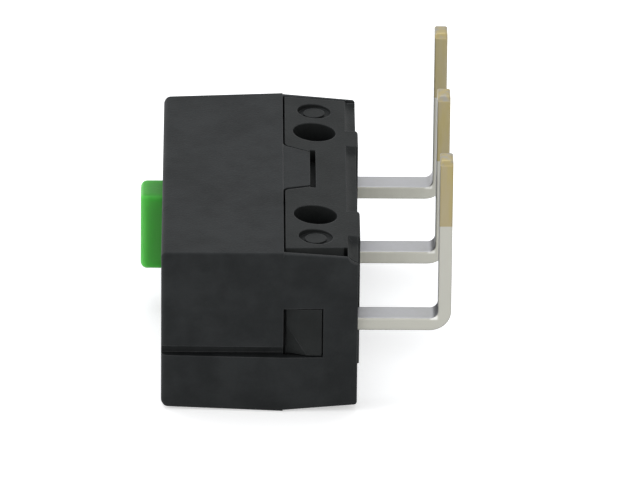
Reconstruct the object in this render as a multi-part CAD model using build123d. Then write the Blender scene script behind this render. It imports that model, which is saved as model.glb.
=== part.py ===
from build123d import *
from math import atan2, cos, degrees, hypot, radians, tan
import os

# Ultra-subminiature snap-action switch with a pin plunger and right-angle terminals.
#
# Frame: origin on the axis of the mounting hole beside the plunger, in the plane
# that the switch lies on.  +X is the way the plunger is pressed, Y runs along the
# case, and +Z goes through the thickness, the way the terminal pins point.
# All sizes are in millimetres.

# ---------------------------------------------------------------- case
case_length = 12.8           # at the parting plane, its longest
case_thickness = 5.8         # at the parting plane, its thickest
case_height = 6.5            # plunger face to bottom face
cover_height = 4.04          # plunger face to parting plane
hole_diameter = 1.45
hole_drop = 1.06             # parting plane to the holes' axis
common_end_margin = 3.0      # end of the case to the axis of the hole beside the plunger
closed_end_margin = 3.3      # other end to the other hole, which spaces the holes 6.5 apart
corner_radius = 0.12         # long edges of the case
face_edge_radius = 0.22      # round the plunger face
end_draft_cover = 0.165      # what each end loses from parting plane to plunger face
side_draft_cover = 0.08
end_draft_base = 0.08        # what each end loses from parting plane to bottom face
side_draft_base = 0.18
parting_step = 0.035         # side faces step in at the parting plane
bottom_edge_radius = 0.1
wall = 0.6                   # side and end walls of the cover
roof = 0.6                   # wall that the plunger comes through
skirt_wall = 0.26            # cover's end skirts, which hang over the base's ends
parting_gap = 0.06           # open line between cover and base
fit_clearance = 0.05         # between a moulded piece and what it goes into
overcut = 1.0                # how far a cutting shape runs past the faces it cuts

# ---------------------------------------------------------------- side tabs of the cover
tab_offset = 0.48            # tab's middle from the middle of the case
tab_width = 2.6              # at its tip
tab_flare = 0.38             # wider by this on each side at its root
tab_drop = 0.9               # how far the tab reaches past the parting plane
tab_thickness = 0.5
tab_root_radius = 0.3
tab_gap = 0.12               # open beside the tab, away from the plunger
tab_slot = 0.19              # open slot at the tab's end
tab_slot_overhang = 0.18     # slot runs past the tab's tip at both sides
tab_slot_depth = 0.6

# ---------------------------------------------------------------- latches at the ends
window_height = 1.32         # along X, from the parting plane
window_width = 1.79          # along Z
latch_flat = 0.78            # flat top of the lug, along X
latch_recess = 0.04          # lug's face below the skirt's face
latch_play = 0.05
latch_lead_play = 0.1        # at the lead-in, which the skirt snaps over
latch_lead_depth = 0.1      # how far the sloped lead-in falls away
latch_corner = 0.68          # slanted corner of the lead-in: along X,
latch_corner_height = 1.1    # along Z,
latch_corner_depth = 0.25    # and how far it falls away
latch_root = 0.8             # how deep the lug is rooted in the base
end_groove_width = 0.39
end_groove_depth = 0.42      # below the case's end at the parting plane
end_groove_slope = 0.14      # its upper wall leans in by this
end_slope_start = 0.3        # width of the sloped edge of the base beside the near skirt
end_slope_end = 0.68         # and at its end by the bottom face
end_slope_drop = 0.8
end_gap = 0.18               # open slit between that edge and the skirt
end_pocket = 0.13            # open right across the sloped edge, at its end

# ---------------------------------------------------------------- base details
platform = 0.35              # base's platform inside the cover
foot_stand = 0.08            # feet stand proud of the bottom face
foot_start = 0.9             # from the resting side to where the feet start
foot_height = 0.35           # rounded strip along the bottom edges between the feet
foot_relief = 0.21           # how deep the strip is cut at the bottom face
foot_bulge = 0.04            # strip's middle above the straight line between its edges
foot_relief_slope = 0.25     # strip's ends rise to the side face over this length
foot_end_radius = 0.06
near_foot_offset = -3.6      # feet, from the middle of the case
near_foot_width = 1.9
far_foot_offset = 3.08
far_foot_width = 1.22
mark_beside_hole = 1.68      # round recesses, from a hole's axis towards its end
mark_diameter = 1.14
mark_depth = 0.14
mark_island_diameter = 0.72
mark_island_height = 0.08
terminal_well = 0.3          # depth of the well round each terminal at the bottom
terminal_well_margin = 0.25

# ---------------------------------------------------------------- plunger
plunger_offset = 1.95        # from the middle of the case
plunger_width = 1.3          # along Y
plunger_breadth = 2.75       # along Z
plunger_proud = 0.75         # free height above the plunger face
plunger_travel = 0.6
plunger_edge_radius = 0.2    # round the tip
plunger_corner_radius = 0.12 # along the stem
collar_margin = 0.25         # collar that keeps the plunger in, round its stem
collar_thickness = 0.3
collar_play = 0.05
foot_flat = 0.15             # half the flat that bears on the lever
foot_slope = 0.35            # rise of the slopes beside it
foot_play = 0.03             # foot to lever

# ---------------------------------------------------------------- terminals
strip_thickness = 0.43
terminal_width = 0.85
terminal_end_margin = 1.32   # end of the case to a terminal's middle: a pitch of 5.08
terminal_standoff = 4.28     # hole axis to the middle of the pins
terminal_drop = 0.07         # legs lie below the middle of the thickness
bend_radius = 0.48           # to the middle of the strip
pin_reach = 8.76             # tip of the pins above the resting plane
pin_taper = 0.14             # at the tip, on the sheared faces
pin_flat_taper = 0.06        # and on the flat faces

# ---------------------------------------------------------------- snap mechanism
contact_gap = 0.5
contact_diameter = 0.8
contact_head = 0.15
contact_bevel = 0.08
contact_touch = 0.04         # left open between closed contacts
fixed_contact_height = 0.26
rivet_diameter = 0.4
rivet_play = 0.02
contact_offset = 1.2         # contacts, from the normally closed terminal
pad_half_width = 0.7
blade_thickness = 0.15
blade_half_width = 0.55
blade_rail = 0.3
blade_tip_radius = 0.25
blade_end = 0.42             # past the contact's middle
blade_web = 0.3              # from the spring's hole to the window
pivot_offset = 0.8           # blade's pivot, from the plunger's middle
pivot_rise = 0.15            # pivot above the contact, contact at rest
lever_thickness = 0.2
lever_rail = 0.3
lever_rise = 0.1             # lever's fulcrum above the blade's pivot
lever_nose = 0.55            # lever's end past the plunger's middle
fulcrum_offset = 0.08        # lever's fulcrum, from the common terminal's middle
hook_offset = 0.65           # lever's hook bar, from the plunger's middle
hook_bar = 0.3
ear_inner = 0.98             # bracket's ears, half the way between them
ear_length = 0.6
ear_head = 0.3               # ear above its notch
notch_depth = 0.2
notch_half_width = 0.26
knife_clearance = 0.1        # edge of a plate to the root of its notch
plate_play = 0.1             # between plates that pass each other
spring_reach = 2.35          # from the pivot to the spring's hole in the blade
spring_diameter = 0.78       # outside
spring_wire = 0.12
spring_wire_sides = 6        # the fine wire is drawn with a hexagonal section
spring_turns = 7
spring_leg = 0.15            # straight wire between the turns and a hook
spring_play = 0.06           # between a hook and what it goes round

# ---------------------------------------------------------------- places
hole_pitch = case_length - common_end_margin - closed_end_margin
terminal_pitch = case_length / 2 - terminal_end_margin
leg_z = case_thickness / 2 - terminal_drop
case_y = common_end_margin - case_length / 2
mid_z = case_thickness / 2
parting_x = -hole_drop
face_x = parting_x - cover_height
bottom_x = face_x + case_height
foot_face_x = bottom_x + foot_stand
roof_x = face_x + roof
floor_x = parting_x - platform
plunger_y = case_y + plunger_offset
common_y = case_y + terminal_pitch
open_y = case_y
closed_y = case_y - terminal_pitch
contact_y = closed_y + contact_offset
pivot_y = plunger_y - pivot_offset
fulcrum_y = common_y - fulcrum_offset
hook_y = plunger_y + hook_offset

shelf_x = floor_x - strip_thickness / 2
contact_half = contact_head + blade_thickness / 2
open_face_x = floor_x - strip_thickness - fixed_contact_height
contact_pressed_x = open_face_x - contact_touch - contact_half
contact_rest_x = contact_pressed_x - contact_gap
closed_face_x = contact_rest_x - contact_half - contact_touch
closed_pad_x = closed_face_x - fixed_contact_height - strip_thickness / 2
pivot_x = contact_rest_x - pivot_rise
fulcrum_x = pivot_x - lever_rise
ear_middle = ear_inner + strip_thickness / 2
lever_inner = ear_inner + strip_thickness + plate_play
lever_outer = lever_inner + lever_rail
lever_tilt = degrees(atan2(plunger_travel / 2, fulcrum_y - plunger_y))
blade_tilt = degrees(atan2(pivot_rise, pivot_y - contact_y))
foot_x = (
    fulcrum_x
    - tan(radians(lever_tilt)) * (fulcrum_y - plunger_y)
    - lever_thickness / 2 / cos(radians(lever_tilt))
    - foot_play
)


def span(x0, x1, y0, y1, z0, z1):
    """Block between two corners."""
    return Pos((x0 + x1) / 2, (y0 + y1) / 2, (z0 + z1) / 2) * Box(x1 - x0, y1 - y0, z1 - z0)


def both_sides(shape):
    """A feature of one side face, and the same on the other."""
    return shape + mirror(shape, about=Plane.XY.offset(mid_z))


def both_ends(shape):
    """A feature of one end of the case, and the same on the other."""
    return shape + mirror(shape, about=Plane.XZ.offset(-case_y))


def extrude_y(points, y0, y1):
    """Outline in X and Z, carried from y0 to y1."""
    section = Plane.XZ * make_face(Polyline(*points, close=True))
    return Pos(0, y0, 0) * extrude(section, amount=-(y1 - y0))


def drafted_body(x, end_draft, side_draft, step):
    """Block from the parting plane to x, drafted on all four walls, with rounded long edges."""
    half = case_length / 2
    high = case_thickness - step
    plan = make_face(Polyline(
        (parting_x, case_y - half), (x, case_y - half + end_draft),
        (x, case_y + half - end_draft), (parting_x, case_y + half), close=True,
    ))
    elevation = [
        (parting_x, step), (x, step + side_draft), (x, high - side_draft), (parting_x, high),
    ]
    body = extrude(plan, amount=case_thickness) & extrude_y(elevation, case_y - half, case_y + half)
    long_edges = [e for e in body.edges() if abs((e % 0.5).X) > 0.9]
    return fillet(long_edges, corner_radius)


def upper_body():
    """Outer form of the cover above the parting plane, with its plunger face rounded off."""
    body = drafted_body(face_x, end_draft_cover, side_draft_cover, 0)
    return fillet(body.faces().sort_by(Axis.X)[0].edges(), face_edge_radius)


def base_share(x):
    """How much of the lower half's draft is reached at height x."""
    return (x - parting_x) / (bottom_x - parting_x)


def lower_body(x):
    """Outer form of the case from the parting plane down to x, shared by base, skirts and tabs."""
    share = base_share(x)
    body = drafted_body(x, share * end_draft_base, share * side_draft_base, parting_step)
    return fillet(body.faces().sort_by(Axis.X)[-1].edges(), bottom_edge_radius)


def side_z(x):
    """Upper side face of the base at height x."""
    return case_thickness - parting_step - side_draft_base * base_share(x)


def edge_relief(y0, y1):
    """Rounded strip cut from the upper side's bottom edge between y0 and y1, with sloped ends."""
    start_x = bottom_x - foot_height
    start_z = side_z(start_x)
    end_z = side_z(bottom_x) - foot_relief
    top_z = case_thickness + overcut
    outside = Polyline(
        (bottom_x, end_z), (bottom_x + overcut, end_z), (bottom_x + overcut, top_z),
        (start_x, top_z), (start_x, start_z),
    )
    strip_arc = SagittaArc((start_x, start_z), (bottom_x, end_z), -foot_bulge)
    section = Plane.XZ * make_face([strip_arc, outside])
    run_out = (top_z - end_z) * foot_relief_slope / foot_relief
    ends = make_face(Polyline(
        (y0 + foot_relief_slope, end_z), (y1 - foot_relief_slope, end_z),
        (y1 - foot_relief_slope + run_out, top_z), (y0 + foot_relief_slope - run_out, top_z), close=True,
    ))
    between = Pos(start_x, 0, 0) * extrude(Plane.YZ * ends, amount=foot_height + overcut)
    reach = run_out + overcut
    return Pos(0, y0 - reach, 0) * extrude(section, amount=-(y1 - y0 + 2 * reach)) & between


def relief_zones():
    """Stretches of the bottom edge between the feet and out to the ends; the far skirt has none."""
    near = case_y + near_foot_offset
    far = case_y + far_foot_offset
    return [
        (case_y - case_length / 2 - overcut, near - near_foot_width / 2),
        (near + near_foot_width / 2, far - far_foot_width / 2),
        (far + far_foot_width / 2, case_y + case_length / 2 - skirt_wall),
    ]


def tab_outline(play, gap):
    """Tab of the cover as seen from the side, with its filleted roots; play and gap widen it."""
    middle = case_y + tab_offset
    near = middle - tab_width / 2 - gap
    far = middle + tab_width / 2 + play
    tip = parting_x + tab_drop
    root = parting_x + play
    flange = tab_width / 2 + tab_flare + gap + tab_root_radius + overcut
    outline = Polyline(
        (parting_x - tab_root_radius, middle - flange),
        (root, middle - flange),
        (root, near - tab_flare),
        (tip, near),
        (tip, far),
        (root, far + tab_flare),
        (root, middle + flange),
        (parting_x - tab_root_radius, middle + flange),
        close=True,
    )
    face = make_face(outline)
    at_root = face.vertices().group_by(Axis.X)[1].sort_by(Axis.Y)[1:3]
    return fillet(at_root, tab_root_radius - play)


def tab_layer(play, gap):
    """The tabs of both sides as slabs that still reach past the side faces."""
    depth = tab_thickness + play
    slab = extrude(tab_outline(play, gap), amount=depth + overcut)
    return both_sides(Pos(0, 0, case_thickness - depth) * slab)


def end_blocks(skirt):
    """Everything that lies further out than the skirt's inner face, at both ends."""
    inner = case_length / 2 - skirt
    block = span(
        parting_x - overcut, foot_face_x + overcut, case_y + inner, case_y + case_length,
        -overcut, case_thickness + overcut,
    )
    return both_ends(block)


def latch_window():
    """Openings in the end skirts for the base's lugs."""
    low = mid_z - window_width / 2
    reach = case_length / 2 + overcut
    return span(
        parting_x, parting_x + window_height, case_y - reach, case_y + reach, low, low + window_width
    )


def end_grooves():
    """Groove in each end wall, from the plunger face to the latch window."""
    low = mid_z - window_width / 2
    high = low + end_groove_width
    end = case_y - case_length / 2
    bottom = end + end_groove_depth
    section = Plane.YZ * make_face(Polyline(
        (end - overcut, low), (bottom, low), (bottom, high - end_groove_slope),
        (end, high), (end - overcut, high), close=True,
    ))
    start = face_x - overcut
    return both_ends(Pos(start, 0, 0) * extrude(section, amount=parting_x - start))


def plunger_stem(x0, x1, play):
    """Rounded bar of the plunger from x0 to x1; play widens it to the hole it goes through."""
    half_y = plunger_width / 2 + play
    half_z = plunger_breadth / 2 + play
    bar = span(x0, x1, plunger_y - half_y, plunger_y + half_y, mid_z - half_z, mid_z + half_z)
    return fillet(bar.edges().filter_by(Axis.X), plunger_corner_radius + play)


def make_cover():
    lower = lower_body(bottom_x)
    shell = upper_body() + (lower & end_blocks(skirt_wall)) + (lower & tab_layer(0, 0))
    shell -= span(
        roof_x, parting_x, case_y - case_length / 2 + wall, case_y + case_length / 2 - wall,
        wall, case_thickness - wall,
    )
    shell -= plunger_stem(face_x - overcut, roof_x + overcut, fit_clearance)
    shell -= edge_relief(*relief_zones()[0])
    return shell - latch_window() - end_grooves()


def latch_lug():
    """Lug on the near end of the base: a sloped lead-in, then a flat that fills the window."""
    start = parting_x + latch_lead_play
    stop = parting_x + window_height - latch_play
    outer = case_y - case_length / 2 + latch_recess + end_draft_base / 2
    lead = outer + latch_lead_depth
    root = case_y - case_length / 2 + skirt_wall + latch_root
    low = mid_z - window_width / 2 + latch_play
    profile = make_face(Polyline(
        (start, lead), (stop - latch_flat, outer), (stop, outer), (stop, root), (start, root),
        close=True,
    ))
    lug = Pos(0, 0, low) * extrude(profile, amount=window_width - 2 * latch_play)
    slant = make_face(Polyline(
        (start, lead, low + latch_corner_height), (start + latch_corner, outer, low),
        (start, outer + latch_corner_depth, low), close=True,
    ))
    return lug - extrude(slant, amount=overcut, dir=(0, -1, 0))


def end_slope():
    """Wedge cut from the base's edge beside the near skirt, wider towards the bottom face."""
    edge = case_y - case_length / 2 + skirt_wall
    sections = []
    for x, width in ((parting_x, end_slope_start), (bottom_x - foot_height, end_slope_end)):
        top = side_z(x)
        wedge = make_face(Polyline(
            (edge + width, top), (edge, top - end_slope_drop), (edge, top + overcut),
            (edge + width, top + overcut), close=True,
        ))
        sections.append(Pos(x, 0, 0) * (Plane.YZ * wedge))
    return loft(sections, ruled=True)


def end_slit():
    """Slit left open between the base and the near skirt, with a pocket at its end."""
    edge = case_y - case_length / 2 + skirt_wall
    end = bottom_x - foot_height
    outline = make_face(Polyline(
        (parting_x - overcut, edge - overcut), (parting_x - overcut, edge + end_gap),
        (end - end_pocket, edge + end_gap), (end - end_pocket, edge + end_slope_end),
        (end, edge + end_slope_end), (end, edge - overcut), close=True,
    ))
    return Pos(0, 0, -overcut) * extrude(outline, amount=case_thickness + 2 * overcut)


def foot(offset, width):
    """Ridge across the bottom face that the case stands proud on, with rounded long edges."""
    y0 = case_y + offset - width / 2
    ridge = span(
        bottom_x - bottom_edge_radius, foot_face_x, y0, y0 + width,
        foot_start, case_thickness + overcut,
    )
    face_edges = ridge.faces().sort_by(Axis.X)[-1].edges()
    return fillet(face_edges.filter_by(Axis.Z), foot_end_radius) & lower_body(foot_face_x)


def make_base(leg_slots):
    base = lower_body(bottom_x) - end_blocks(skirt_wall + fit_clearance)
    base += foot(near_foot_offset, near_foot_width) + foot(far_foot_offset, far_foot_width)
    base = base & span(
        parting_x + parting_gap, foot_face_x, case_y - case_length, case_y + case_length,
        -overcut, case_thickness + overcut,
    )
    base -= tab_layer(parting_gap, tab_gap)
    half = case_length / 2 - wall - fit_clearance
    base += span(
        floor_x, parting_x + parting_gap, case_y - half, case_y + half,
        wall + fit_clearance, case_thickness - wall - fit_clearance,
    )
    tip = parting_x + tab_drop
    tab_y = case_y + tab_offset
    slot_half = tab_width / 2 + tab_slot_overhang
    slot = span(
        tip, tip + tab_slot, tab_y - slot_half, tab_y + slot_half,
        case_thickness - tab_slot_depth, case_thickness + overcut,
    )
    base -= both_sides(slot)
    for y0, y1 in relief_zones():
        base -= edge_relief(y0, y1)
    base -= end_slit()
    base -= both_sides(end_slope())
    base += both_ends(latch_lug())
    for y in (0, -hole_pitch):
        base -= Pos(0, y, mid_z) * Cylinder(hole_diameter / 2, case_thickness + 2 * overcut)
    for y in (mark_beside_hole, -hole_pitch - mark_beside_hole):
        base -= both_sides(side_mark(y))
    for y in (common_y, open_y, closed_y):
        base -= terminal_well_at(y)
    for slot in leg_slots:
        base -= slot
    return base


def side_mark(y):
    """Round recess with a low island, left by the moulding tool."""
    depth_z = side_z(0) - mark_depth
    recess = Pos(0, y, depth_z + overcut / 2) * Cylinder(mark_diameter / 2, overcut)
    island = Pos(0, y, depth_z + mark_island_height / 2) * Cylinder(
        mark_island_diameter / 2, mark_island_height
    )
    return recess - island


def terminal_well_at(y):
    """Shallow well in the bottom face round a terminal."""
    half_y = terminal_width / 2 + terminal_well_margin
    half_z = strip_thickness / 2 + terminal_well_margin
    return span(
        bottom_x - terminal_well, bottom_x + overcut, y - half_y, y + half_y,
        leg_z - half_z, leg_z + half_z,
    )


def make_plunger():
    half_y = plunger_width / 2
    collar_x = roof_x + collar_play
    stem = plunger_stem(face_x - plunger_proud, collar_x, 0)
    stem = fillet(stem.faces().sort_by(Axis.X)[0].edges(), plunger_edge_radius)
    collar_z = lever_outer + fit_clearance
    collar = span(
        collar_x, collar_x + collar_thickness,
        plunger_y - half_y - collar_margin, plunger_y + half_y + collar_margin,
        mid_z - collar_z, mid_z + collar_z,
    )
    leg_profile = make_face(Polyline(
        (collar_x, -half_y), (foot_x - foot_slope, -half_y), (foot_x, -foot_flat),
        (foot_x, foot_flat), (foot_x - foot_slope, half_y), (collar_x, half_y), close=True,
    ))
    leg = Pos(0, plunger_y, mid_z + lever_inner) * extrude(leg_profile, amount=collar_z - lever_inner)
    return stem + collar + both_sides(leg)


def strip(points, y, width, play=0):
    """Sheet strip bent along points in X and Z, width along Y; play makes its envelope."""
    line = FilletPolyline(*points, radius=bend_radius)
    section = Plane.XZ * trace(line, line_width=strip_thickness + 2 * play)
    half = width / 2 + play
    return Pos(0, y + half, 0) * extrude(section, amount=2 * half)


def leg_points(*inner):
    """Pin, right-angle bend and leg of a terminal, then the points of its inner part."""
    return [(terminal_standoff, pin_reach), (terminal_standoff, leg_z), (shelf_x, leg_z), *inner]


def taper_pin(terminal):
    """Small chamfers round the pin's tip, longer on its sheared faces."""
    tip = terminal.faces().sort_by(Axis.Z)[-1].edges()
    terminal = chamfer(tip.filter_by(Axis.X), pin_taper)
    tip = terminal.faces().sort_by(Axis.Z)[-1].edges()
    return chamfer(tip.filter_by(Axis.Y), pin_flat_taper)


def plate(x, y0, y1, z0, z1):
    """Flat stretch of strip lying across X."""
    return span(x - strip_thickness / 2, x + strip_thickness / 2, y0, y1, z0, z1)


def make_common_terminal():
    points = leg_points((shelf_x, mid_z + ear_middle))
    terminal = taper_pin(strip(points, common_y, terminal_width))
    tray = [
        (pivot_x - ear_head, mid_z - ear_middle), (shelf_x, mid_z - ear_middle),
        (shelf_x, mid_z + ear_middle), (pivot_x - ear_head, mid_z + ear_middle),
    ]
    front = pivot_y - notch_depth
    back = fulcrum_y + notch_depth
    section = strip(tray, (front + back) / 2, back - front)
    ears_low = shelf_x - strip_thickness / 2 - bend_radius
    between = span(
        fulcrum_x - ear_head - overcut, ears_low, front + ear_length, back - ear_length,
        -overcut, case_thickness + overcut,
    )
    section -= between
    for x, y, way in ((pivot_x, pivot_y, -1), (fulcrum_x, fulcrum_y, 1)):
        notch = make_face(Polyline(
            (x, y), (x - 2 * notch_half_width, y + way * 2 * notch_depth),
            (x + 2 * notch_half_width, y + way * 2 * notch_depth), close=True,
        ))
        section -= extrude(notch, amount=case_thickness)
    return terminal + section


def make_open_terminal():
    points = leg_points((shelf_x, mid_z + pad_half_width))
    terminal = taper_pin(strip(points, open_y, terminal_width))
    pad_end = contact_y - blade_end
    terminal += plate(
        shelf_x, pad_end, open_y - terminal_width / 2, mid_z - pad_half_width, mid_z + pad_half_width
    )
    neck = plate(
        shelf_x, open_y - terminal_width, open_y, leg_z + bend_radius, mid_z + pad_half_width
    )
    hole = Pos(shelf_x, contact_y, mid_z) * Rot(0, 90, 0) * Cylinder(rivet_diameter / 2, overcut)
    return terminal + neck - hole


def make_closed_terminal():
    points = leg_points(
        (shelf_x, mid_z + ear_middle), (closed_pad_x, mid_z + ear_middle),
        (closed_pad_x, mid_z - pad_half_width),
    )
    terminal = taper_pin(strip(points, closed_y, terminal_width))
    terminal += plate(
        closed_pad_x, closed_y, contact_y + blade_end, mid_z - pad_half_width, mid_z + pad_half_width
    )
    hole = Pos(closed_pad_x, contact_y, mid_z) * Rot(0, 90, 0) * Cylinder(rivet_diameter / 2, overcut)
    return terminal - hole


def rivet_head(height):
    """Round contact head standing on the plane X = 0, with its rim bevelled."""
    head = Pos(height / 2, 0, 0) * Rot(0, 90, 0) * Cylinder(contact_diameter / 2, height)
    rim = head.faces().sort_by(Axis.X)[-1].edges()
    return chamfer(rim, contact_bevel)


def rivet_shank(length):
    """Shank of a contact rivet, from the plane X = 0 backwards."""
    return Pos(-length / 2, 0, 0) * Rot(0, 90, 0) * Cylinder(rivet_diameter / 2 - rivet_play, length)


def fixed_contact(seat_x, face):
    """Contact rivet with its head on the strip and its shank through it."""
    rivet = rivet_head(abs(face - seat_x)) + rivet_shank(strip_thickness)
    if face < seat_x:
        rivet = mirror(rivet, about=Plane.YZ)
    return Pos(seat_x, contact_y, mid_z) * rivet


def make_open_contact():
    return fixed_contact(floor_x - strip_thickness, open_face_x)


def make_closed_contact():
    return fixed_contact(closed_pad_x + strip_thickness / 2, closed_face_x)


def on_blade(shape):
    """From blade coordinates (Y along the blade, pivot at the origin) to its place at rest."""
    return Pos(pivot_x, pivot_y, mid_z) * Rot(0, 0, blade_tilt) * shape


def on_lever(shape):
    """From lever coordinates (Y along the lever, fulcrum at the origin) to its place at rest."""
    return Pos(fulcrum_x, fulcrum_y, mid_z) * Rot(0, 0, -lever_tilt) * shape


def blade_length():
    return hypot(pivot_y - contact_y, pivot_rise)


def sheet(x_half, y0, y1, z_half):
    """Symmetric block of a thin plate in its own coordinates."""
    return Box(2 * x_half, y1 - y0, 2 * z_half).moved(Location((0, (y0 + y1) / 2, 0)))


def make_contact_blade():
    half = blade_thickness / 2
    rail_outer = blade_half_width + blade_rail
    rear = -knife_clearance
    tip = -blade_length() - blade_end
    window_end = -spring_reach + blade_web
    blade = sheet(half, window_end - 2 * blade_web, rear, rail_outer)
    blade += sheet(half, rear - blade_rail, rear, ear_inner + strip_thickness)
    blade -= sheet(half * 2, window_end, rear + overcut, blade_half_width)
    blade += sheet(half, tip, window_end - blade_web, blade_half_width)
    blade = fillet(blade.edges().filter_by(Axis.X).sort_by(Axis.Y)[:2], blade_tip_radius)
    hook_hole = Rot(0, 90, 0) * Cylinder(spring_wire / 2 + 2 * spring_play, overcut)
    hook_hole = Pos(0, -spring_reach, 0) * hook_hole
    shank = Pos(0, -blade_length(), 0) * Rot(0, 90, 0) * Cylinder(rivet_diameter / 2, overcut)
    return on_blade(blade - hook_hole - shank)


def make_moving_contact():
    """Rivet with a head on each side of the blade."""
    half = blade_thickness / 2
    head = Pos(half, 0, 0) * rivet_head(contact_head)
    rivet = head + mirror(head, about=Plane.YZ) + Pos(half, 0, 0) * rivet_shank(blade_thickness)
    return on_blade(Pos(0, -blade_length(), 0) * rivet)


def make_actuating_lever():
    half = lever_thickness / 2
    length = fulcrum_y - hook_y
    nose = plunger_y - fulcrum_y - lever_nose
    rear = knife_clearance + hook_bar
    lever = sheet(half, nose, rear, lever_outer)
    lever -= sheet(half * 2, nose - overcut, -length - hook_bar / 2, lever_inner)
    lever -= sheet(half * 2, -length + hook_bar / 2, knife_clearance, lever_inner)
    return on_lever(lever)


def make_spring():
    """Tension spring with a half hook at each end, from the lever's bar to the blade's hole."""
    radius = (spring_diameter - spring_wire) / 2
    bar = on_lever(Vertex(0, hook_y - fulcrum_y, 0)).center()
    hole = on_blade(Vertex(0, -spring_reach, 0)).center()
    way = (hole - bar).normalized()
    over_bar = hook_bar / 2 + spring_wire / 2 + spring_play
    start = bar + way * (radius - over_bar + spring_leg)
    height = (hole - start).length - radius - spring_leg
    helix = Helix(height / spring_turns, height, radius)
    wire = RegularPolygon(spring_wire / 2, spring_wire_sides)
    spring = sweep(Plane(origin=helix @ 0, z_dir=helix % 0) * wire, path=helix)
    for z, outward in ((0, -1), (height, 1)):
        hook_z = z + outward * spring_leg
        spring += extrude(Pos(radius, 0, z) * wire, amount=outward * spring_leg)
        spring += revolve(Pos(radius, 0, hook_z) * wire, Axis((0, 0, hook_z), (0, 1, 0)), -180 * outward)
    return Plane(origin=start, x_dir=Vector(0, 0, 1).cross(way), z_dir=way) * spring


def leg_slot(y):
    """Slot that a terminal's leg passes through, up to the platform's face."""
    envelope = strip(leg_points((shelf_x, mid_z + ear_middle)), y, terminal_width, fit_clearance)
    below = span(
        floor_x, bottom_x + overcut, y - terminal_width, y + terminal_width, 0, case_thickness
    )
    return envelope & below


parts = {
    "cover": make_cover(),
    "base": make_base([leg_slot(y) for y in (common_y, open_y, closed_y)]),
    "plunger": make_plunger(),
    "common_terminal": make_common_terminal(),
    "normally_open_terminal": make_open_terminal(),
    "normally_closed_terminal": make_closed_terminal(),
    "normally_open_contact": make_open_contact(),
    "normally_closed_contact": make_closed_contact(),
    "contact_blade": make_contact_blade(),
    "moving_contact": make_moving_contact(),
    "actuating_lever": make_actuating_lever(),
    "snap_spring": make_spring(),
}

os.makedirs("parts", exist_ok=True)
for name, shape in parts.items():
    export_step(shape, f"parts/{name}.step")
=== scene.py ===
from math import cos, radians, sin

import bmesh
import bpy
from mathutils import Matrix, Vector


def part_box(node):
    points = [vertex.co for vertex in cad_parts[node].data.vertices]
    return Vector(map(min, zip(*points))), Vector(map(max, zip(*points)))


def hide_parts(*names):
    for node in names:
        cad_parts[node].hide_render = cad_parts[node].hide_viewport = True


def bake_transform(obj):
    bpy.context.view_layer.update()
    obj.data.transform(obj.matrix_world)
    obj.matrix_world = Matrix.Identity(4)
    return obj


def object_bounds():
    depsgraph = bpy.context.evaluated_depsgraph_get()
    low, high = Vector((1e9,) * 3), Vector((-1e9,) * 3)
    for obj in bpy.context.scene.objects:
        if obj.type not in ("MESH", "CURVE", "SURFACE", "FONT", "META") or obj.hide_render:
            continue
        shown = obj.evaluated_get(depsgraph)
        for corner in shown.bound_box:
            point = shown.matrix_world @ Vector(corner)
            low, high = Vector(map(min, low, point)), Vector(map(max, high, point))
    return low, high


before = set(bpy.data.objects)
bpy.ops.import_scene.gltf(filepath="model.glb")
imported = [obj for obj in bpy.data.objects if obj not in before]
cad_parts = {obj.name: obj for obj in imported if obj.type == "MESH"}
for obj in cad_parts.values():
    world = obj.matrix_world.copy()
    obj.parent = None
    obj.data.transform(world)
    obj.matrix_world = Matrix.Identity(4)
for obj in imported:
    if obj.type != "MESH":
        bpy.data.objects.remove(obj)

cad_low, cad_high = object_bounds()

# ------------------------------------------------------------------ stage
# A small studio table: a plain pale floor under the switch that meets a plain
# pale surround.  Three soft lamps light it: overhead, from the left, in front.
MM = 0.001
floor_half = 2.0
floor_mottle = 4 * MM
floor_grey = (0.86, 0.86, 0.86)
floor_pale = (0.88, 0.88, 0.88)
floor_glow = 0.45
surround_tint = (0.97, 0.98, 1.0)
surround_light = 0.62
black = (0, 0, 0)
white = (1, 1, 1)

scene = bpy.context.scene
scene.view_settings.view_transform = "Standard"
middle = (Vector(cad_low) + Vector(cad_high)) / 2


class Value:
    """A shader value; arithmetic on it adds Math nodes to the same finish."""

    def __init__(self, finish, socket):
        self.finish = finish
        self.socket = socket

    def math(self, operation, *others):
        inputs = dict(enumerate((self, *others)))
        return self.finish.add("ShaderNodeMath", {"operation": operation}, inputs)

    def __add__(self, other):
        return self.math("ADD", other)

    def __radd__(self, other):
        return self.math("ADD", other)

    def __sub__(self, other):
        return self.math("SUBTRACT", other)

    def __rsub__(self, other):
        return self.finish.add("ShaderNodeMath", {"operation": "SUBTRACT"}, {0: other, 1: self})

    def __mul__(self, other):
        return self.math("MULTIPLY", other)

    def __rmul__(self, other):
        return self.math("MULTIPLY", other)

    def between(self, low, high):
        """0 below low, 1 above high, smooth in between."""
        settings = {"interpolation_type": "SMOOTHSTEP"}
        inputs = {"Value": self, "From Min": low, "From Max": high}
        return self.finish.add("ShaderNodeMapRange", settings, inputs)

    def band(self, start, full, fade, end):
        """1 from full to fade, 0 before start and after end."""
        return self.between(start, full) - self.between(fade, end)


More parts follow.
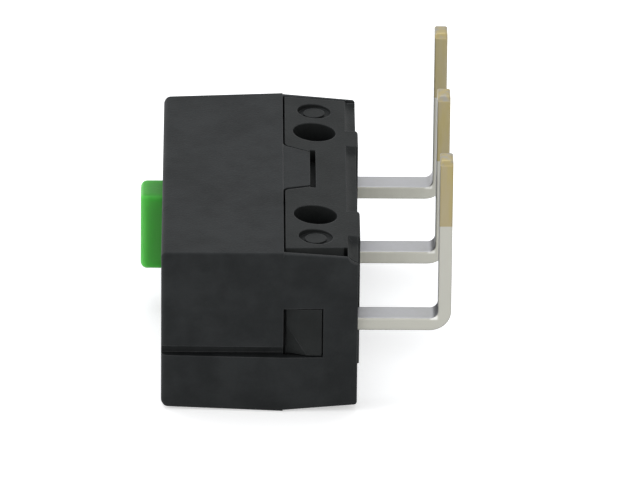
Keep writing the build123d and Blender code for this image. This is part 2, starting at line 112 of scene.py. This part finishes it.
class Nodes:
    """A node tree that shader values are made in."""

    def __init__(self, tree):
        self.tree = tree

    def feed(self, socket, value):
        if isinstance(value, Value):
            self.tree.links.new(value.socket, socket)
        elif isinstance(value, tuple) and len(value) == 3 and socket.type == "RGBA":
            socket.default_value = (*value, 1)
        else:
            socket.default_value = value

    def add(self, kind, settings=None, inputs=None, output=0):
        """A node with its settings made first, then its inputs; returns one output."""
        node = self.tree.nodes.new(kind)
        for label, value in (settings or {}).items():
            setattr(node, label, value)
        for label, value in (inputs or {}).items():
            self.feed(node.inputs[label], value)
        return Value(self, node.outputs[output])

    def mix(self, share, first, second):
        """Colour from first to second as share goes from 0 to 1."""
        inputs = {"Factor": share, 6: first, 7: second}
        return self.add("ShaderNodeMix", {"data_type": "RGBA"}, inputs, output=2)

    def seen(self):
        """1 where the lens, a mirror or clear stuff looks straight at it, 0 for its light."""
        rays = ("Is Camera Ray", "Is Glossy Ray", "Is Transmission Ray")
        return sum(self.add("ShaderNodeLightPath", output=ray) for ray in rays).math("MINIMUM", 1.0)


class Finish(Nodes):
    """One procedural material on its Principled shader."""

    def __init__(self, name, **fixed):
        self.material = bpy.data.materials.new(name)
        self.material.use_nodes = True
        super().__init__(self.material.node_tree)
        self.shader = self.tree.nodes["Principled BSDF"]
        for label, value in fixed.items():
            self.socket(label).default_value = value
        self.place = self.add("ShaderNodeTexCoord", output="Object")

    def socket(self, label):
        """The shader's input for a keyword such as base_color."""
        return self.shader.inputs[label.replace("_", " ").title().replace("Ior", "IOR")]

    def noise(self, size, detail=2.0, roughness=0.5, stretch=(1, 1, 1), seed=0.0):
        """Noise whose lumps are about size metres, longer where stretch is below 1."""
        scale = tuple(share / size for share in stretch)
        shift = (seed, seed, seed)
        inputs = {"Vector": self.place, "Location": shift, "Scale": scale}
        place = self.add("ShaderNodeMapping", inputs=inputs)
        inputs = {"Vector": place, "Scale": 1.0, "Detail": detail, "Roughness": roughness}
        return self.add("ShaderNodeTexNoise", inputs=inputs)

    def edges(self, radius, flat=0.002, sharp=0.2):
        """1 on outward and inward edges within radius metres of them, 0 on open faces."""
        bent = self.add("ShaderNodeBevel", {"samples": 4}, {"Radius": radius})
        true = self.add("ShaderNodeNewGeometry", output="Normal")
        settings = {"operation": "DOT_PRODUCT"}
        dot = self.add("ShaderNodeVectorMath", settings, {0: bent, 1: true}, output="Value")
        return (1 - dot).between(flat, sharp)

    def along(self, axis):
        """Object coordinate along X, Y or Z, in metres."""
        return self.add("ShaderNodeSeparateXYZ", inputs={0: self.place}, output=axis)

    def facing(self, axis):
        """How squarely a face looks along an axis, either way: 1 when it does."""
        normal = self.add("ShaderNodeNewGeometry", output="True Normal")
        return self.add("ShaderNodeSeparateXYZ", inputs={0: normal}, output=axis).math("ABSOLUTE")

    def finish(self, height=None, depth=0.0, round_radius=0.0, **varying):
        """Links what varies to the shader; height goes through a Bump node, over rounded edges."""
        normal = None
        if round_radius:
            normal = self.add("ShaderNodeBevel", {"samples": 8}, {"Radius": round_radius})
        if height is not None:
            inputs = {"Height": height, "Distance": depth, "Strength": 1.0}
            if normal:
                inputs["Normal"] = normal
            normal = self.add("ShaderNodeBump", inputs=inputs)
        if normal:
            varying["normal"] = normal
        for label, value in varying.items():
            self.feed(self.socket(label), value)
        return self.material


def soft_lamp(name, place, width, height, watts, colour=white):
    """Rectangular lamp at place, in metres from the switch's middle, which it faces."""
    data = bpy.data.lights.new(name, "AREA")
    data.shape = "RECTANGLE"
    data.size = width
    data.size_y = height
    data.energy = watts
    data.color = colour
    lamp = bpy.data.objects.new(name, data)
    scene.collection.objects.link(lamp)
    lamp.location = middle + Vector(place)
    lamp.rotation_euler = (-Vector(place)).to_track_quat("-Z", "Y").to_euler()


soft_lamp(
    "overhead_lamp", (-0.02, 0.06, 0.16),
    width=0.16, height=0.12, watts=0.14, colour=(0.93, 0.97, 1.0),
)
soft_lamp("left_lamp", (-0.16, -0.05, 0.07), width=0.10, height=0.10, watts=0.08)
soft_lamp(
    "front_lamp", (0.05, -0.20, 0.06),
    width=0.14, height=0.10, watts=0.11, colour=(1.0, 0.98, 0.92),
)

floor_finish = Finish("floor_paper", roughness=0.9, emission_strength=floor_glow)
floor_finish.finish(
    base_color=floor_finish.mix(floor_finish.noise(floor_mottle), floor_grey, floor_pale),
    emission_color=floor_finish.mix(floor_finish.seen(), black, white),
)
floor_shape = bmesh.new()
bmesh.ops.create_grid(floor_shape, x_segments=1, y_segments=1, size=floor_half)
bmesh.ops.translate(
    floor_shape, verts=floor_shape.verts, vec=(middle.x, middle.y, cad_low[2])
)
floor_mesh = bpy.data.meshes.new("floor")
floor_shape.to_mesh(floor_mesh)
floor_shape.free()
floor_mesh.materials.append(floor_finish.material)
floor = bpy.data.objects.new("floor", floor_mesh)
scene.collection.objects.link(floor)

world = bpy.data.worlds.new("surround")
scene.world = world
world.use_nodes = True
surround = Nodes(world.node_tree)
surround_seen = surround.seen()
background = world.node_tree.nodes["Background"]
surround.feed(background.inputs["Color"], surround.mix(surround_seen, surround_tint, white))
surround.feed(background.inputs["Strength"], surround_light + (1 - surround_light) * surround_seen)

# ------------------------------------------------------------------ camera
# A long lens low over the near end of the case, looking along its length, with
# the middle of the cover a little below and left of the middle of the view.
view_rise = radians(25.59)
view_yaw = radians(0.648)
view_roll = radians(-0.576)
view_distance = 0.3152
view_right = 0.0001975
view_up = 0.0003314
aim_height = 0.0029
lens_over_sensor = 14.640625

case_low, case_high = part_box("cover")
aim = Vector((0, (case_low[1] + case_high[1]) / 2, aim_height))
forward = Vector(
    (sin(view_yaw) * cos(view_rise), cos(view_yaw) * cos(view_rise), -sin(view_rise))
)
right = Vector((cos(view_yaw), -sin(view_yaw), 0))
right = Matrix.Rotation(view_roll, 3, forward) @ right
up = right.cross(forward)
lens = bpy.data.cameras.new("lens")
lens.sensor_width = 36
lens.lens = lens_over_sensor * lens.sensor_width
lens.clip_start = 0.01
camera = bpy.data.objects.new("camera", lens)
scene.collection.objects.link(camera)
place = aim + right * view_right + up * view_up - forward * view_distance
basis = Matrix((right, up, -forward)).transposed().to_4x4()
camera.matrix_world = Matrix.Translation(place) @ basis
scene.camera = camera

# ------------------------------------------------------------------ base
# The lower half of the case: black glass-filled plastic, moulded in one piece.  The
# terminals are pressed through its slots, and the lugs on its ends latch the cover.
plastic_shine = 0.12
plastic_roughness = 0.5
flow_size = 1.3 * MM
flow_share = 0.7
grain_size = 0.07 * MM
grain_share = 0.3
grain_depth = 0.008 * MM
edge_round = 0.06 * MM
edge_rub_and_highlight = 0.5


def linear(red, green, blue):
    """Screen colour, 0 to 255, as the linear colour that a shader wants."""
    return tuple(
        ((part / 255 + 0.055) / 1.055) ** 2.4 if part > 10 else part / 255 / 12.92
        for part in (red, green, blue)
    )


base_dark = linear(23, 25, 25)
base_light = linear(34, 36, 36)
# Pale grey for the case's edges: partly rubbed wear, partly a painted highlight.
rubbed_edge_and_highlight = linear(96, 97, 99)


def dress(node, material):
    """Gives a CAD node its finish."""
    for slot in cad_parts[node].material_slots:
        slot.material = material


def moulded_plastic(name, dark, light, rubbed_and_highlight, seed):
    """Spark-eroded mould grain over cloudy filler, a little polished along the edges, which are paled
    towards grey: rubbed wear and a painted highlight.
    """
    plastic = Finish(name, ior=1.5, specular_ior_level=plastic_shine)
    flow = plastic.noise(flow_size, detail=5.0, roughness=0.6, seed=seed)
    grain = plastic.noise(grain_size, detail=3.0, seed=seed)
    polish_and_highlight = plastic.edges(edge_round)
    cloud = flow.between(0.3, 0.7) * flow_share + grain * grain_share
    colour = plastic.mix(cloud, dark, light)
    plastic.finish(
        # Edges are paled towards grey: rubbed wear and a painted highlight along them.
        base_color=plastic.mix(polish_and_highlight * flow * edge_rub_and_highlight, colour, rubbed_and_highlight),
        roughness=plastic_roughness + 0.18 * grain - 0.12 * polish_and_highlight,
        height=grain + flow * 0.5,
        depth=grain_depth,
        round_radius=edge_round,
    )
    return plastic.material


dress("base", moulded_plastic("base_plastic", base_dark, base_light, rubbed_edge_and_highlight, 3.0))

# ------------------------------------------------------------------ terminals
# Three brass strips, stamped, bent to a right angle and tinned.  Each is held by the
# slot in the base that its leg is pressed through; the pins were sheared to width
# after tinning, so their narrow faces show the brass.
tin_cool = linear(172, 172, 176)
tin_warm = linear(165, 165, 165)
sheared_tin_near = linear(168, 167, 159)
# A lighter sheared tin for the two terminals behind the nearest: painted light lifting the shade they
# stand in.
sheared_tin_painted_lighter = linear(177, 176, 167)
sheared_brass = linear(149, 137, 104)
olive_brass = linear(153, 141, 98)
# Near-white spots on the front faces where the legs bend: painted highlight.
painted_bend_highlight = linear(226, 226, 222)
cut_brass = linear(166, 152, 110)
cut_tin = linear(150, 147, 138)
tin_metal = 0.78
tin_roughness = 0.34
tin_cloud_size = 0.5 * MM
tin_fine_size = 0.03 * MM
draw_size = 0.22 * MM
draw_stretch = (1, 1, 0.12)
draw_depth = 0.006 * MM
strip_round = 0.09 * MM
sheared_start = 6.4 * MM
sheared_blend = 0.03 * MM
streak_share = 0.4
cut_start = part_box("common_terminal")[1][2] - 0.16 * MM
cut_smear_size = 0.3 * MM
bend_highlight_share = 0.8
bend_highlight_across = (3.74 * MM, 3.88 * MM, 4.0 * MM, 4.1 * MM)
bend_highlight_up = (2.96 * MM, 3.03 * MM, 3.1 * MM, 3.2 * MM)


def tinned_brass(name, seed, bared, sheared_tin):
    """Dull drawn tin, streaked along the strip, with bare brass where the pin was sheared and a
    painted highlight on the front of each bend.
    """
    tin = Finish(name)
    cloud = tin.noise(tin_cloud_size, detail=4.0, seed=seed)
    streak = tin.noise(draw_size, detail=4.0, stretch=draw_stretch, seed=seed)
    fine = tin.noise(tin_fine_size, detail=2.0, seed=seed)
    sheared = tin.facing("Y").between(0.5, 0.9)
    bare = sheared * tin.along("Z").between(sheared_start, sheared_start + sheared_blend)
    smear = tin.noise(cut_smear_size, detail=3.0, seed=seed + 5.0).between(0.35, 0.6)
    cut = tin.along("Z").between(cut_start, cut_start + sheared_blend)
    # Painted highlight: a near-white patch on the Y-facing faces where each leg bends.
    bend_highlight_mask = tin.along("X").band(*bend_highlight_across) * tin.along("Z").band(*bend_highlight_up)
    brass = tin.mix(streak.between(0.4, 0.62), sheared_brass, olive_brass)
    colour = tin.mix(sheared, tin.mix(cloud, tin_cool, tin_warm), sheared_tin)
    colour = tin.mix(bare * (bared + streak_share * streak), colour, brass)
    colour = tin.mix(bend_highlight_mask * sheared * bend_highlight_share, colour, painted_bend_highlight)
    tin.finish(
        base_color=tin.mix(cut, colour, tin.mix(smear, cut_tin, cut_brass)),
        metallic=tin_metal + 0.05 * cloud,
        roughness=tin_roughness + 0.16 * streak + 0.05 * bare,
        height=streak + fine * 0.4,
        depth=draw_depth,
        round_radius=strip_round,
    )
    return tin.material


# The common and normally open terminals get the lighter sheared tin and less bare brass than the
# normally closed one: painted light lifting the shade on them.
for terminal, seed, bared, sheared_tin in (
    ("common_terminal", 11.0, 0.62, sheared_tin_painted_lighter),
    ("normally_open_terminal", 12.0, 0.7, sheared_tin_painted_lighter),
    ("normally_closed_terminal", 13.0, 0.75, sheared_tin_near),
):
    dress(terminal, tinned_brass(f"{terminal}_tin", seed, bared, sheared_tin))

# ------------------------------------------------------------------ contacts
# Silver-alloy rivets, headed cold.  Two are riveted to the ends of the fixed
# strips and the third, with a head on each side, to the blade between them.
silver_bright = linear(214, 212, 206)
silver_dull = linear(168, 163, 152)
silver_metal = 0.9
silver_roughness = 0.25
silver_depth = 0.003 * MM
silver_round = 0.03 * MM
tarnish_size = 0.25 * MM
silver_fine_size = 0.03 * MM


def headed_silver(name, seed):
    """Silver alloy under a faint cloud of tarnish."""
    silver = Finish(name)
    tarnish = silver.noise(tarnish_size, detail=4.0, seed=seed)
    fine = silver.noise(silver_fine_size, detail=2.0, seed=seed)
    silver.finish(
        base_color=silver.mix(tarnish.between(0.4, 0.7), silver_bright, silver_dull),
        metallic=silver_metal + 0.1 * fine,
        roughness=silver_roughness + 0.2 * tarnish,
        height=fine,
        depth=silver_depth,
        round_radius=silver_round,
    )
    return silver.material


contacts = ("normally_open_contact", "normally_closed_contact", "moving_contact")
for seed, contact in enumerate(contacts, start=21):
    dress(contact, headed_silver(f"{contact}_silver", float(seed)))

# ------------------------------------------------------------------ contact blade
# A flat blade of rolled copper alloy with a window for the spring.  Its rear edges
# rock in the notches of the front ears, and the spring holds it there.
copper_rolled = linear(198, 140, 100)
copper_dull = linear(160, 104, 70)
sheet_metal = 0.9
sheet_roughness = 0.28
bloom_size = 0.6 * MM
rolling_size = 0.08 * MM
rolling_stretch = (1, 0.08, 1)
rolling_depth = 0.003 * MM
sheet_round = 0.03 * MM


def rolled_sheet(name, bright, dull, seed):
    """Sheet metal with rolling lines along its length and a light bloom of oxide."""
    sheet = Finish(name)
    bloom = sheet.noise(bloom_size, detail=4.0, seed=seed)
    lines = sheet.noise(rolling_size, detail=3.0, stretch=rolling_stretch, seed=seed)
    sheet.finish(
        base_color=sheet.mix(bloom.between(0.35, 0.7), bright, dull),
        metallic=sheet_metal + 0.1 * lines,
        roughness=sheet_roughness + 0.2 * lines,
        height=lines,
        depth=rolling_depth,
        round_radius=sheet_round,
    )
    return sheet.material


dress("contact_blade", rolled_sheet("blade_copper", copper_rolled, copper_dull, 31.0))

# ------------------------------------------------------------------ actuating lever
# A stamped brass fork under the plunger's feet.  It rocks in the rear ears, and its
# bar holds the spring's hook.
brass_rolled = linear(205, 180, 110)
brass_dull = linear(165, 138, 80)

dress("actuating_lever", rolled_sheet("lever_brass", brass_rolled, brass_dull, 41.0))

# ------------------------------------------------------------------ spring
# A fine tension spring of drawn steel, hooked over the lever's bar and through the
# blade's hole, that snaps the blade from one contact to the other.  In use its bar end
# swings with the lever, its far end with the blade, which turns about half as far;
# here it is a welded copy of the CAD spring, held still.
steel_drawn = linear(170, 172, 176)
steel_oiled = linear(120, 120, 122)
weld_reach = 0.0005 * MM

spring_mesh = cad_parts["snap_spring"].data.copy()
spring_mesh.name = "snap_spring_wire"
spring_mesh.materials.clear()
spring_shape = bmesh.new()
spring_shape.from_mesh(spring_mesh)
bmesh.ops.remove_doubles(spring_shape, verts=spring_shape.verts, dist=weld_reach)
spring_shape.to_mesh(spring_mesh)
spring_shape.free()
spring_wire = bpy.data.objects.new("snap_spring_wire", spring_mesh)
scene.collection.objects.link(spring_wire)
spring_mesh.materials.append(rolled_sheet("spring_steel", steel_drawn, steel_oiled, 51.0))
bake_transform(spring_wire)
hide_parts("snap_spring")

# ------------------------------------------------------------------ plunger
# A green plastic button that slides through the roof of the cover.  It is moulded
# with a collar that keeps it in and two feet that press the lever.
# Painted light and shade: the green is lighter at the tip, deeper at the root by the case, and deeper
# still on the faces square to Z.
green_painted_light_tip = linear(88, 172, 80)
green_painted_shade_root = linear(80, 172, 72)
green_painted_top_shade = linear(66, 140, 58)
plunger_shine = 0.12
plunger_roughness = 0.38
plunger_cloud_size = 0.9 * MM
plunger_grain_size = 0.1 * MM
plunger_grain_depth = 0.006 * MM
plunger_edge = 0.08 * MM
plunger_round = 0.2 * MM
plunger_seed = 61.0
plunger_root = -4.9 * MM
plunger_tip = -5.9 * MM
glow_depth = 1.2 * MM
glow_spread = (0.5, 1.0, 0.5)

button = Finish(
    "plunger_plastic", ior=1.48, specular_ior_level=plunger_shine,
    subsurface_weight=1.0, subsurface_scale=glow_depth, subsurface_radius=glow_spread,
)
green_cloud = button.noise(plunger_cloud_size, detail=4.0, seed=plunger_seed)
green_grain = button.noise(plunger_grain_size, detail=2.0, seed=plunger_seed)
# Edges lean towards the lighter green: partly wear, partly a painted highlight.
green_edge_wear_and_highlight = button.edges(plunger_edge)
# Painted shade: the green deepens from the tip to the root, where the case shades it.
green_root_shade_ramp = button.along("X").between(plunger_root, plunger_tip)
# Painted shade: faces square to Z are painted deeper against the light from above.
green_top_shade_mask = button.facing("Z").between(0.6, 0.95)
green_share = green_root_shade_ramp * 0.7 + green_cloud * 0.3 + green_edge_wear_and_highlight * 0.1
button.finish(
    base_color=button.mix(green_top_shade_mask * 0.8, button.mix(green_share, green_painted_shade_root, green_painted_light_tip), green_painted_top_shade),
    roughness=plunger_roughness + 0.15 * green_grain,
    height=green_grain,
    depth=plunger_grain_depth,
    round_radius=plunger_round,
)
dress("plunger", button.material)

# ------------------------------------------------------------------ cover
# The upper half of the case, moulded in the same black plastic.  Its end skirts and
# side tabs drop over the base, and the base's lugs click into its windows.
cover_dark = linear(23, 25, 26)
cover_light = linear(38, 40, 41)

dress("cover", moulded_plastic("cover_plastic", cover_dark, cover_light, rubbed_edge_and_highlight, 71.0))
